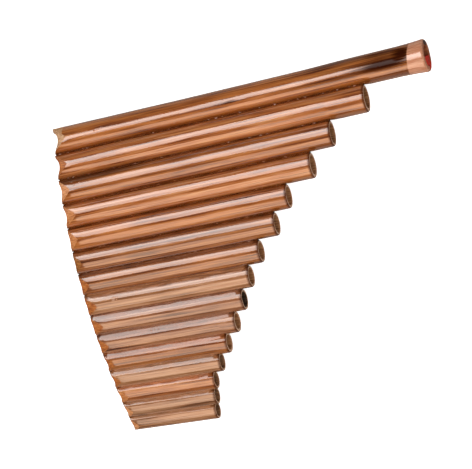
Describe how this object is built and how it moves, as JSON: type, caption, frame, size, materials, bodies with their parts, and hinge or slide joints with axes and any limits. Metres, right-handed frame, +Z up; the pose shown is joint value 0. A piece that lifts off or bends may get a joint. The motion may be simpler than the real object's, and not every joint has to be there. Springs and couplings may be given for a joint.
{
  "type": "pan flute",
  "caption": "Curved row of stepped bamboo pipes glued side by side, bevelled at the mouth and open at the foot, each with a sliding cork stopper that sets its note.",
  "frame": {"origin": "under the middle of the whole flute, on the surface that it lies on", "axes": "+X along the pipes from mouth to foot, +Y towards the longest pipe, +Z up, out of the bowed side"},
  "size_m": [0.2498, 0.2078, 0.0301],
  "materials": {
    "bamboo_light": "gloss lacquer over stained bamboo",
    "bamboo_dark": "gloss lacquer over darker stained bamboo",
    "glue": "set brown glue under lacquer",
    "cork": "bare agglomerated cork",
    "wax": "red sealing wax"
  },
  "bodies": {
    "pipes": {"pipe_01": "bamboo_light", "pipe_02": "bamboo_dark", "pipe_03": "bamboo_light", "pipe_04": "bamboo_dark", "pipe_05": "bamboo_light", "pipe_06": "bamboo_dark", "pipe_07": "bamboo_light", "pipe_08": "bamboo_dark", "pipe_09": "bamboo_light", "pipe_10": "bamboo_dark", "pipe_11": "bamboo_light", "pipe_12": "bamboo_dark", "pipe_13": "bamboo_light", "pipe_14": "bamboo_dark", "pipe_15": "bamboo_light", "glue_seam_01_02": "glue", "glue_seam_02_03": "glue", "glue_seam_03_04": "glue", "glue_seam_04_05": "glue", "glue_seam_05_06": "glue", "glue_seam_06_07": "glue", "glue_seam_07_08": "glue", "glue_seam_08_09": "glue", "glue_seam_09_10": "glue", "glue_seam_10_11": "glue", "glue_seam_11_12": "glue", "glue_seam_12_13": "glue", "glue_seam_13_14": "glue", "glue_seam_14_15": "glue", "foot_wax_01": "wax"},
    "stopper_01": {"stopper_01": "cork"},
    "stopper_02": {"stopper_02": "cork"},
    "stopper_03": {"stopper_03": "cork"},
    "stopper_04": {"stopper_04": "cork"},
    "stopper_05": {"stopper_05": "cork"},
    "stopper_06": {"stopper_06": "cork"},
    "stopper_07": {"stopper_07": "cork"},
    "stopper_08": {"stopper_08": "cork"},
    "stopper_09": {"stopper_09": "cork"},
    "stopper_10": {"stopper_10": "cork"},
    "stopper_11": {"stopper_11": "cork"},
    "stopper_12": {"stopper_12": "cork"},
    "stopper_13": {"stopper_13": "cork"},
    "stopper_14": {"stopper_14": "cork"},
    "stopper_15": {"stopper_15": "cork"}
  },
  "joints": [
    {"name": "tuning_slide_01", "type": "slide", "parent": "pipes", "child": "stopper_01", "axis": [1, 0, 0], "range_m": [-0.0123, 0.013]},
    {"name": "tuning_slide_02", "type": "slide", "parent": "pipes", "child": "stopper_02", "axis": [1, 0, 0], "range_m": [-0.0109, 0.0115]},
    {"name": "tuning_slide_03", "type": "slide", "parent": "pipes", "child": "stopper_03", "axis": [1, 0, 0], "range_m": [-0.0097, 0.0103]},
    {"name": "tuning_slide_04", "type": "slide", "parent": "pipes", "child": "stopper_04", "axis": [1, 0, 0], "range_m": [-0.0092, 0.0062]},
    {"name": "tuning_slide_05", "type": "slide", "parent": "pipes", "child": "stopper_05", "axis": [1, 0, 0], "range_m": [-0.0082, 0.0051]},
    {"name": "tuning_slide_06", "type": "slide", "parent": "pipes", "child": "stopper_06", "axis": [1, 0, 0], "range_m": [-0.0073, 0.0077]},
    {"name": "tuning_slide_07", "type": "slide", "parent": "pipes", "child": "stopper_07", "axis": [1, 0, 0], "range_m": [-0.0065, 0.0068]},
    {"name": "tuning_slide_08", "type": "slide", "parent": "pipes", "child": "stopper_08", "axis": [1, 0, 0], "range_m": [-0.0061, 0.0053]},
    {"name": "tuning_slide_09", "type": "slide", "parent": "pipes", "child": "stopper_09", "axis": [1, 0, 0], "range_m": [-0.0055, 0.0057]},
    {"name": "tuning_slide_10", "type": "slide", "parent": "pipes", "child": "stopper_10", "axis": [1, 0, 0], "range_m": [-0.0049, 0.0051]},
    {"name": "tuning_slide_11", "type": "slide", "parent": "pipes", "child": "stopper_11", "axis": [1, 0, 0], "range_m": [-0.0046, 0.0047]},
    {"name": "tuning_slide_12", "type": "slide", "parent": "pipes", "child": "stopper_12", "axis": [1, 0, 0], "range_m": [-0.0041, 0.0043]},
    {"name": "tuning_slide_13", "type": "slide", "parent": "pipes", "child": "stopper_13", "axis": [1, 0, 0], "range_m": [-0.0037, 0.0037]},
    {"name": "tuning_slide_14", "type": "slide", "parent": "pipes", "child": "stopper_14", "axis": [1, 0, 0], "range_m": [-0.0033, 0.0034]},
    {"name": "tuning_slide_15", "type": "slide", "parent": "pipes", "child": "stopper_15", "axis": [1, 0, 0], "range_m": [-0.0031, 0.0032]}
  ]
}
